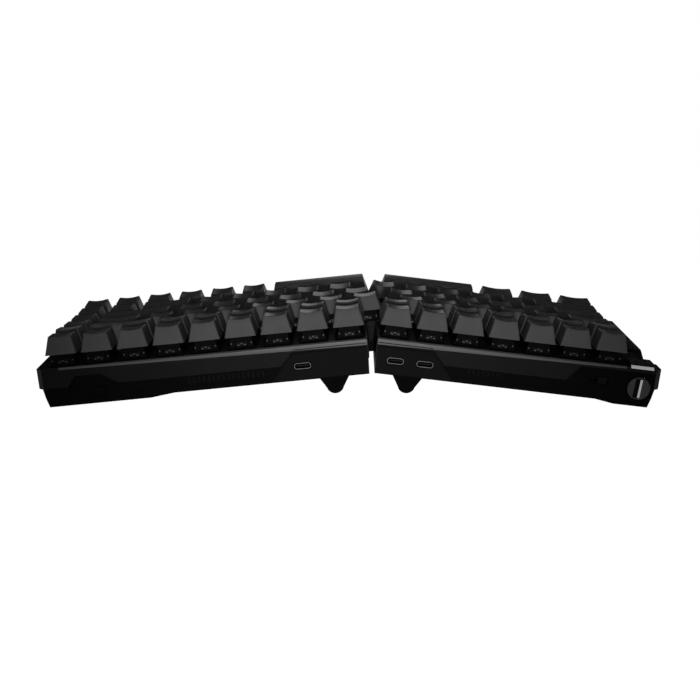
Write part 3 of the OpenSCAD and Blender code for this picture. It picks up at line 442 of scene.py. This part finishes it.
def add_piece(name, points, faces, side, finish, body, slot, nodes=(), smooth=38):
    """A mesh object from deck millimetres, carried to its half, with its finish and its body. The slot
    argument is not used.
    """
    m = np.array(DECK[side])
    world_points = points @ m[:3, :3].T + m[:3, 3]
    mesh = bpy.data.meshes.new(name)
    mesh.from_pydata(world_points.tolist(), [], faces)
    mesh.shade_smooth()
    mesh.set_sharp_from_angle(angle=math.radians(smooth))
    mesh.materials.append(FINISH[finish])
    piece = bpy.data.objects.new(name, mesh)
    bpy.context.collection.objects.link(piece)
    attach(piece, body)
    if nodes:
        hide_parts(*nodes)
    return piece


print("cap rings:", len(cap_levels(1, 0)[0]))

# %% [markdown]
# ## The keys, run by run
# Each run is a first cell edge, a row counted from the rear, a width in cells and a number of keys. The
# stem goes in under each cap, with two outriggers on the widest keys.

# %% Build the keys
KEY_RUNS = {
    "key_escape": [(0, 0, 1, 1)], "keys_left_function": [(1, 0, 1, 6)], "keys_left_number": [(0, 1, 1, 7)],
    "key_tab": [(0, 2, 1.5, 1)], "keys_left_upper": [(1.5, 2, 1, 5)], "key_caps": [(0, 3, 1.75, 1)],
    "keys_left_home": [(1.75, 3, 1, 5)], "key_left_shift": [(0, 4, 2.25, 1)],
    "keys_left_lower": [(2.25, 4, 1, 5)], "keys_left_modifier": [(0, 5, 1.25, 3)],
    "key_left_space": [(3.75, 5, 3.125, 1)],
    "keys_right_function": [(7, 0, 1, 6)], "keys_right_system": [(13, 0, 1, 3)],
    "keys_right_number": [(7, 1, 1, 6)], "key_backspace": [(13, 1, 2, 1)],
    "keys_right_upper": [(6.5, 2, 1, 7)], "key_backslash": [(13.5, 2, 1.5, 1)],
    "keys_right_home": [(6.75, 3, 1, 6)], "key_enter": [(12.75, 3, 2.25, 1)],
    "keys_right_lower": [(7.25, 4, 1, 5)], "key_right_shift": [(12.25, 4, 1.75, 1)],
    "key_right_space": [(6.875, 5, 3.125, 1)], "keys_right_modifier": [(10, 5, 1, 3)],
    "keys_arrow": [(14, 4, 1, 1), (13, 5, 1, 3)], "keys_navigation": [(15, r, 1, 1) for r in (1, 2, 3, 4)],
}
LEFT_KEYS = list(KEY_RUNS)[:list(KEY_RUNS).index("keys_right_function")]
LEFT_CELLS = 7
STEM_X, STEM_Y, STEM_STEP, STEM_TOP, STEM_LOW = 3.5, 2.8, 0.2, 7.0, -1.0
SHOULDER_X, POST_R, POST_SINK = 4.5, 2.75, 0.2
LEG_X, LEG_Y, LEG_OUT, BAR_LEG_OUT = 2.2, 1.7, 11.9, 20.0


def key_places(runs):
    """Middle of each key in deck millimetres, its width in cells and its row."""
    return [((u + w * (i + 0.5) - LEFT_CELLS) * KEY_UNIT, -(row + 0.5) * KEY_UNIT, w, row)
            for u, row, w, n in runs for i in range(n)]


def key_parts(x, y, width, row):
    """Cap, stem and post of one key, and two legs with posts under a wide one, moved to the key's place."""
    points, faces = closed_surface(*cap_levels(width, row))
    stem_post = post(POST_R, STEM_TOP, CAP_RISE + roof_height(row) + POST_SINK)
    parts = [(points + np.array([0, 0, CAP_RISE]), faces),
             block(-STEM_X, STEM_X, -STEM_Y, STEM_Y, STEM_STEP, STEM_TOP),
             block(-SHOULDER_X, SHOULDER_X, -STEM_Y, STEM_Y, STEM_LOW, STEM_STEP), stem_post]
    if width >= 2:
        out = BAR_LEG_OUT if width >= LONG_BAR else LEG_OUT
        leg = block(-LEG_X, LEG_X, -LEG_Y, LEG_Y, STEM_LOW, STEM_TOP)
        parts += [(p + np.array([s, 0, 0]), f) for s in (-out, out) for p, f in (leg, stem_post)]
    return [(p + np.array([x, y, 0]), f) for p, f in parts]


for node, runs in KEY_RUNS.items():
    parts = [part for place in key_places(runs) for part in key_parts(*place)]
    side = "left" if node in LEFT_KEYS else "right"
    add_piece(node + "_caps", *join_parts(parts), side, "cap", body_of_node[node], "cap_plastic", [node])
print("key pieces:", len(KEY_RUNS))

# %% [markdown]
# ## Softened copies of the solids
# Moulded parts have no knife edges. A copy of a solid's mesh is merged, so that its triangles join, and a
# narrow bevel rounds every sharp edge, which is what catches the light along the case.

# %% Softened cases, switches and feet
MICRONS, FLAT_DEG = 1e6, 0.6


def softened(node, finish, width_mm, segments=2, angle=28):
    """A copy of the node's mesh, with points in the same micron merged and flat triangles joined, and a bevel
    on edges sharper than the angle."""
    mesh = node_of[node].data
    flat = np.empty(len(mesh.vertices) * 3)
    mesh.vertices.foreach_get("co", flat)
    cells = np.round(flat.reshape(-1, 3) * MICRONS).astype(np.int64)
    keys, back = np.unique(cells, axis=0, return_inverse=True)
    corners = np.empty(len(mesh.loops), dtype=np.int64)
    mesh.loops.foreach_get("vertex_index", corners)
    tris = back.ravel()[corners].reshape(-1, 3)
    good = (tris[:, 0] != tris[:, 1]) & (tris[:, 1] != tris[:, 2]) & (tris[:, 0] != tris[:, 2])
    merged = bpy.data.meshes.new(node + "_soft")
    merged.from_pydata((keys / MICRONS).tolist(), [], tris[good].tolist())
    merged.shade_smooth()
    merged.set_sharp_from_angle(angle=math.radians(angle))
    merged.materials.append(FINISH[finish])
    piece = bpy.data.objects.new(node + "_soft", merged)
    bpy.context.collection.objects.link(piece)
    dissolve = piece.modifiers.new("flats", "DECIMATE")
    dissolve.decimate_type = "DISSOLVE"
    dissolve.angle_limit = math.radians(FLAT_DEG)
    bevel = piece.modifiers.new("edges", "BEVEL")
    bevel.width = width_mm * MM
    bevel.segments = segments
    bevel.limit_method = "ANGLE"
    bevel.angle_limit = math.radians(angle)
    bevel.harden_normals = True
    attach(piece, body_of_node[node])
    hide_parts(node)
    return piece


soft_pieces = []
for half in ("left", "right"):
    soft_pieces += [
        softened(half + "_bottom_case", "case", 0.35),
        softened(half + "_top_case", "top", 0.35),
        softened(half + "_port_panel", "panel", 0.12),
        softened(half + "_switches", "switch", 0.18),
        softened(half + "_rear_foot", "foot", 0.5, 3),
        softened(half + "_front_foot", "foot", 0.5, 3),
    ]
soft_pieces += [
    softened("control_roller", "alu", 0.12),
    softened("corner_button", "control", 0.4, 3),
    softened("corner_trim", "trim", 0.25),
    softened("mode_slider", "panel", 0.25),
    softened("receiver", "case", 0.3),
]
print("softened:", len(soft_pieces))

# %% [markdown]
# ## Lines on the rear wall
# The upper rear edge is rounded and catches the lamps; a skin over it, lighter and a little shinier than the
# wall, paints sheen on it, so it draws a light line along each half. The cover over the sockets lies in a
# groove whose black inside is painted shade, a near-black strip on its floor, with a fine line of painted
# shade above it. Thin skins on the ribs' outer faces, lighter than the case, paint light on them.

# %% Painted sheen on the rim edge, painted shade in the groove and fine line, painted light on the ribs
RIM_R, RIM_IN, RIM_LOW, RIM_SKIN, RIM_BACK = 1.0, 0.7, -3.6, 0.02, 0.1
GROOVE_Y, GROOVE_W, GROOVE_IN, GROOVE_LOW, GROOVE_SKIN = 3.0, 1.2, 1.2, -10.7, 0.03
PANEL_TOP, SLANT = -4.9, 0.9
LINE_UP, LINE_H, LINE_SKIN, LINE_SHORT = 1.0, 0.4, 0.04, 0.6
RIB_W, RIB_STEP, RIB_SKIN = 1.0, 2.6, 0.06


def lofted(ends):
    """A closed body between two outlines of as many points: a quad from each side of one to the same side
    of the other, and the two outlines as end faces."""
    n = len(ends[0])
    i = np.arange(n)
    j = (i + 1) % n
    sides = np.stack([i, i + n, j + n, j], axis=1).tolist()
    return np.concatenate(ends), sides + [i.tolist(), (i + n)[::-1].tolist()]


def rim_sheen_strip(x0, x1, steps=12):
    """A strip of painted sheen on the rounded edge: an arc in y and z about the rounding's axis, a fiftieth
    of a millimetre larger than the rounding, then straight down the wall. The same curve a little further in
    closes it. It is drawn along x, and its part on the wall narrows to nothing at the outer end, so the
    painted sheen fades there."""
    turn = np.radians(np.linspace(86, 0, steps - 1))

    def curve(grow, low):
        return (np.append(REAR_Y - RIM_R + (RIM_R + grow) * np.cos(turn), REAR_Y + grow),
                np.append(-RIM_R + (RIM_R + grow) * np.sin(turn), low))

    ends = []
    for x, low in ((x0, RIM_LOW), (x1, -RIM_R - RIM_SKIN)):
        (y_out, z_out), (y_in, z_in) = curve(RIM_SKIN, low), curve(-RIM_BACK, low)
        ends.append(np.stack([np.full(2 * steps, x), np.append(y_out, y_in[::-1]),
                              np.append(z_out, z_in[::-1])], axis=1))
    return lofted(ends)


def groove_shade_strips(corner_x):
    """Painted shade: a flat near-black strip on the groove's floor, along the top of the cover and down its
    slanted end, and a fine line on the wall above it, a near-black strip standing for the shade of an
    engraved line."""
    z0, z1, z2 = PANEL_TOP, PANEL_TOP + GROOVE_W, GROOVE_LOW
    a, b = corner_x, corner_x + GROOVE_W * (1 - SLANT)
    low_a, low_b = a + SLANT * (z0 - z2), b + SLANT * (z1 - z2)
    flat = np.array([(GROOVE_IN, z0), (a, z0), (low_a, z2), (low_b, z2), (b, z1), (GROOVE_IN, z1)])
    ends = [np.c_[flat[:, 0], np.full(len(flat), y), flat[:, 1]]
            for y in (GROOVE_Y - 10 * GROOVE_SKIN, GROOVE_Y + GROOVE_SKIN)]
    line = block(GROOVE_IN, b - LINE_SHORT, REAR_Y - 5 * LINE_SKIN, REAR_Y + LINE_SKIN,
                 z1 + LINE_UP, z1 + LINE_UP + LINE_H)
    return join_parts([lofted(ends), line])


def rib_faces_painted_light(first, count, z0, z1):
    """Thin blocks on the flat outer faces of a row of upright ribs at even steps, lighter than the case:
    painted light on the faces.
    """
    return join_parts([block(x, x + RIB_W, GROOVE_Y - 0.1, GROOVE_Y + RIB_SKIN, z0, z1)
                       for x in first + RIB_STEP * np.arange(count)])


# Each half: which way x runs, the cover's corner, the rim's outer end, and its ribs as first x, count, low
# and high edge.
REAR_WALL = {"right": (1, 40.3, 163.0, (56.0, 16, -15.2, -11.8)),
             "left": (-1, 30.4, 132.0, (-66.0, 7, -13.8, -11.4))}
for side, (sign, corner_x, reach, ribs) in REAR_WALL.items():
    # The ribs' outer faces take the lighter panel finish, painted light on them.
    add_piece(side + "_rib_faces_painted_light", *rib_faces_painted_light(*ribs), side, "panel", side + "_half", "case_dark")
    mirror = np.array([sign, 1.0, 1.0])
    # The rim edge strip is painted sheen on the rounded rear edge.
    strip, faces = rim_sheen_strip(RIM_IN, reach)
    add_piece(side + "_rim_painted_sheen", strip * mirror, [f[::sign] for f in faces], side, "rim", side + "_half",
              "case_top", smooth=60)
    # The groove floor and the fine line are painted shade.
    floor, faces = groove_shade_strips(corner_x)
    add_piece(side + "_panel_groove_shade", floor * mirror, [f[::sign] for f in faces], side, "slot",
              side + "_half", "case_dark")
print("rear wall lines drawn")

# %% [markdown]
# ## Sockets
# A socket shows as a thin bright lip round a black mouth with a flat tongue in it; the mouth's black is
# painted shade, a near-black lining inside the lip. The outline is a bar with round ends; the lip, the mouth
# lining and the back are rings of that outline at different depths.

# %% Socket lips, painted shade in the mouths, and tongues
PORT_Z, PORT_W, PORT_H, PORT_FACE, PORT_END = -11.6, 9.0, 3.4, 3.3, -3.2
LIP_WALL, LIP_ROUND, BACK_WALL = 0.4, 0.1, 0.3
TONGUE_X, TONGUE_Z, TONGUE_IN = 3.3, 0.35, 1.1
PORTS = {"right": ("right_usb_socket", [35.5]), "left": ("left_usb_sockets", [-11.1, -26.7])}
# The mouth layer is a near-black lining, painted shade.
SOCKET_LAYERS = (("lip", "steel"), ("mouth_shade", "slot"), ("tongue", "lens"))


def bar_outline(width, height, y, steps=12):
    """A bar with round ends in the x-z plane: two half circles of the bar's height, shifted apart."""
    a = np.concatenate([np.linspace(-90, 90, steps), np.linspace(90, 270, steps)])
    shift = np.repeat([(width - height) / 2, (height - width) / 2], steps)
    r = height / 2
    return np.stack([shift + r * np.cos(np.radians(a)), np.full(2 * steps, y), r * np.sin(np.radians(a))],
                    axis=1)


def socket_parts(x):
    """A lip of rings from the back outside, round the front edge and down the inside to the back, a thin
    near-black lining inside it that paints the shade of the mouth, and a tongue."""
    def rings(*steps):
        return [bar_outline(PORT_W - 2 * inset, PORT_H - 2 * inset, y) for inset, y in steps]

    lip = rings((0.0, PORT_END), (0.0, PORT_FACE - LIP_ROUND), (LIP_ROUND, PORT_FACE),
                (LIP_WALL - LIP_ROUND, PORT_FACE), (LIP_WALL, PORT_FACE - LIP_ROUND),
                (LIP_WALL, PORT_END + BACK_WALL))
    shade_lining = rings((LIP_WALL + 0.01, PORT_END + 0.4), (LIP_WALL + 0.01, PORT_FACE - 0.15),
                   (LIP_WALL + 0.05, PORT_FACE - 0.15), (LIP_WALL + 0.05, PORT_END + 0.8))

    def turned_out(outlines, y_first, y_last):
        ends = [np.array([[0.0, y, 0.0]]) for y in (y_first, y_last)]
        points, faces = closed_surface(outlines, *ends)
        return points, [f[::-1] for f in faces]

    at = np.array([x, 0.0, PORT_Z])
    shell = turned_out(lip, PORT_END, PORT_END + BACK_WALL)
    mouth_shade = turned_out(shade_lining, PORT_END + 0.4, PORT_END + 0.8)
    tongue = block(-TONGUE_X, TONGUE_X, PORT_END + 0.6, PORT_FACE - TONGUE_IN, -TONGUE_Z, TONGUE_Z)
    return [(c + at, f) for c, f in (shell, mouth_shade, tongue)]


for side, (node, places) in PORTS.items():
    layers = zip(SOCKET_LAYERS, zip(*[socket_parts(x) for x in places]))
    for (tail, finish), parts in layers:
        add_piece(side + "_socket_" + tail, *join_parts(parts), side, finish, body_of_node[node],
                  "bright_steel", [node] if tail == "lip" else ())
print("sockets built")

# %% [markdown]
# ## Small bright details
# The roller has a slot across its rear face with a bright bar in it, and the slot's black is painted shade, a
# near-black block. Each switch has a small lens over its lamp, at the rear, and two clips that hold its lid;
# the clips and three specks on the lens are light grey, painted highlights that make the bright specks under
# the caps.

# %% Roller bar and painted slot shade, switch lenses, and lid clips with painted highlights
ROLLER_X, ROLLER_Z, ROLLER_TURN = -140.0, -11.1, -3
# Width, length, foot and face along y, and shift sideways.
SLOT_SIZE, BAR_SIZE = (3.6, 10.4, 3.4, 3.63, 0.6), (1.2, 9.8, 3.4, 3.66, -0.7)
LENS_X, LENS_Y, LENS_Z = 2.7, (5.0, 5.4), (0.4, 2.6)
# Specks and clips are light grey, painted highlights on the black switch.
SPECKS, SPECK_X, SPECK_Y, SPECK_H = ((-1.7, 1.0), (0.0, 1.7), (1.7, 1.0)), 0.55, (5.3, 5.8), 0.6
CLIP_OUT, CLIP_X, CLIP_Y, CLIP_Z = 5.3, 0.3, (5.4, 6.4), (1.9, 2.7)


def turned_block(size_x, size_z, y0, y1, shift_x):
    """A block across the roller's face, shifted sideways and turned about the roller's axis."""
    c, f = block(shift_x - size_x / 2, shift_x + size_x / 2, y0, y1, -size_z / 2, size_z / 2)
    a = math.radians(ROLLER_TURN)
    x = c[:, 0] * math.cos(a) + c[:, 2] * math.sin(a)
    z = -c[:, 0] * math.sin(a) + c[:, 2] * math.cos(a)
    return np.stack([x + ROLLER_X, c[:, 1], z + ROLLER_Z], axis=1), f


def switch_details():
    """A lens, three specks of painted highlight on it and two clips beside it, which also carry painted
    highlight, as blocks about one switch's middle.
    """
    lens = [block(-LENS_X, LENS_X, *LENS_Y, *LENS_Z)]
    clips = [block(s - SPECK_X, s + SPECK_X, *SPECK_Y, z, z + SPECK_H) for s, z in SPECKS]
    clips += [block(s - CLIP_X, s + CLIP_X, *CLIP_Y, *CLIP_Z) for s in (-CLIP_OUT, CLIP_OUT)]
    return join_parts(lens), join_parts(clips)


# The roller slot is a near-black block, painted shade.
for name, size, finish in (("roller_slot", SLOT_SIZE, "slot"), ("roller_bar", BAR_SIZE, "trim")):
    add_piece(name, *turned_block(*size), "left", finish, "control_roller", "bright_aluminium")
for side in ("left", "right"):
    runs = [run for n in KEY_RUNS if (n in LEFT_KEYS) == (side == "left") for run in KEY_RUNS[n]]
    spots = [np.array([x, y, 0.0]) for x, y, *_ in key_places(runs)]
    # The clips and specks carry painted highlight.
    for (c, f), tail, finish in zip(switch_details(), ("_switch_lenses", "_switch_painted_glints"), ("lens", "clip")):
        add_piece(side + tail, *join_parts([(c + spot, f) for spot in spots]), side, finish, side + "_half",
                  "switch_plastic")
print("switch details on", sum(len(key_places(r)) for r in KEY_RUNS.values()), "switches")

# %% [markdown]
# ## What stays as it is
# Plates, boards, cells, screws, pins and pads are right as solids and only take their finish.

# %% Finishes for the plain solids
PLAIN = {"switch_plate": "plate", "circuit_board": "board", "stabilisers": "switch",
         "battery": "cell", "foot_pads": "rubber", "case_screws": "steel",
         "foot_pins": "steel", "roller_encoder": "control", "mode_switch": "switch"}
for name, obj in node_of.items():
    for tail, finish in PLAIN.items():
        if name.endswith(tail):
            obj.data.materials.clear()
            obj.data.materials.append(FINISH[finish])
print("plain solids finished")
